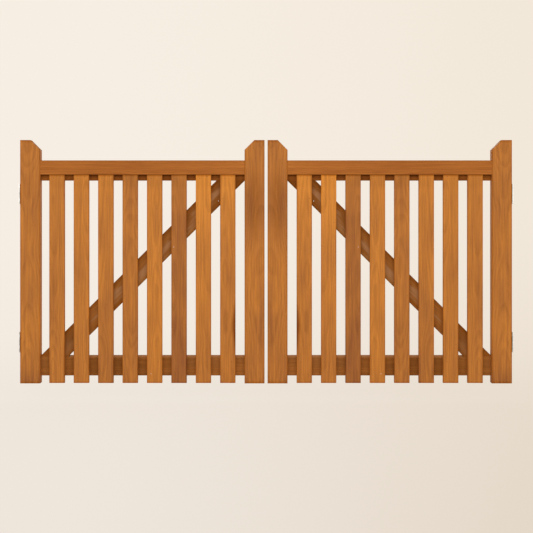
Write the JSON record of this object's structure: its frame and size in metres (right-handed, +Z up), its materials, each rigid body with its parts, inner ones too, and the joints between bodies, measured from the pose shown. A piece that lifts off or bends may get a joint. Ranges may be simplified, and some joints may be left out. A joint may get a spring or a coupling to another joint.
{
  "type": "paled timber driveway gate, double leaf",
  "caption": "Double-leaf timber driveway gate: mortised frames with clipped stiles, vertical pales under a rebated top rail, diagonal braces and steel butt hinges.",
  "frame": {"origin": "on the outer face of the left lower post flap, the face that is screwed to the left post, at the middle of that flap", "axes": "+X from the left post to the right post, +Y from the road side to the back, the way both leaves open, +Z up"},
  "size_m": [2.433, 0.059, 1.195],
  "materials": {
    "stile_timber": "satin",
    "rail_timber": "satin",
    "brace_timber": "satin",
    "pale_timber": "satin",
    "zinc_steel": "satin"
  },
  "bodies": {
    "post_flaps": {"left_lower_post_flap": "zinc_steel", "left_lower_hinge_pin": "zinc_steel", "left_upper_post_flap": "zinc_steel", "left_upper_hinge_pin": "zinc_steel", "right_lower_post_flap": "zinc_steel", "right_lower_hinge_pin": "zinc_steel", "right_upper_post_flap": "zinc_steel", "right_upper_hinge_pin": "zinc_steel"},
    "left_leaf": {"left_hanging_stile": "stile_timber", "left_meeting_stile": "stile_timber", "left_top_rail": "rail_timber", "left_bottom_rail": "rail_timber", "left_brace": "brace_timber", "left_pale_1": "pale_timber", "left_pale_2": "pale_timber", "left_pale_3": "pale_timber", "left_pale_4": "pale_timber", "left_pale_5": "pale_timber", "left_pale_6": "pale_timber", "left_pale_7": "pale_timber", "left_pale_8": "pale_timber", "left_lower_gate_flap": "zinc_steel", "left_upper_gate_flap": "zinc_steel"},
    "right_leaf": {"right_hanging_stile": "stile_timber", "right_meeting_stile": "stile_timber", "right_top_rail": "rail_timber", "right_bottom_rail": "rail_timber", "right_brace": "brace_timber", "right_pale_1": "pale_timber", "right_pale_2": "pale_timber", "right_pale_3": "pale_timber", "right_pale_4": "pale_timber", "right_pale_5": "pale_timber", "right_pale_6": "pale_timber", "right_pale_7": "pale_timber", "right_pale_8": "pale_timber", "right_lower_gate_flap": "zinc_steel", "right_upper_gate_flap": "zinc_steel"}
  },
  "joints": [
    {"name": "left_leaf_swing", "type": "hinge", "parent": "post_flaps", "child": "left_leaf", "pos_m": [0.006, 0.023, 0], "axis": [0, 0, 1], "range_deg": [0, 100]},
    {"name": "right_leaf_swing", "type": "hinge", "parent": "post_flaps", "child": "right_leaf", "pos_m": [2.427, 0.023, 0], "axis": [0, 0, -1], "range_deg": [0, 100]}
  ]
}
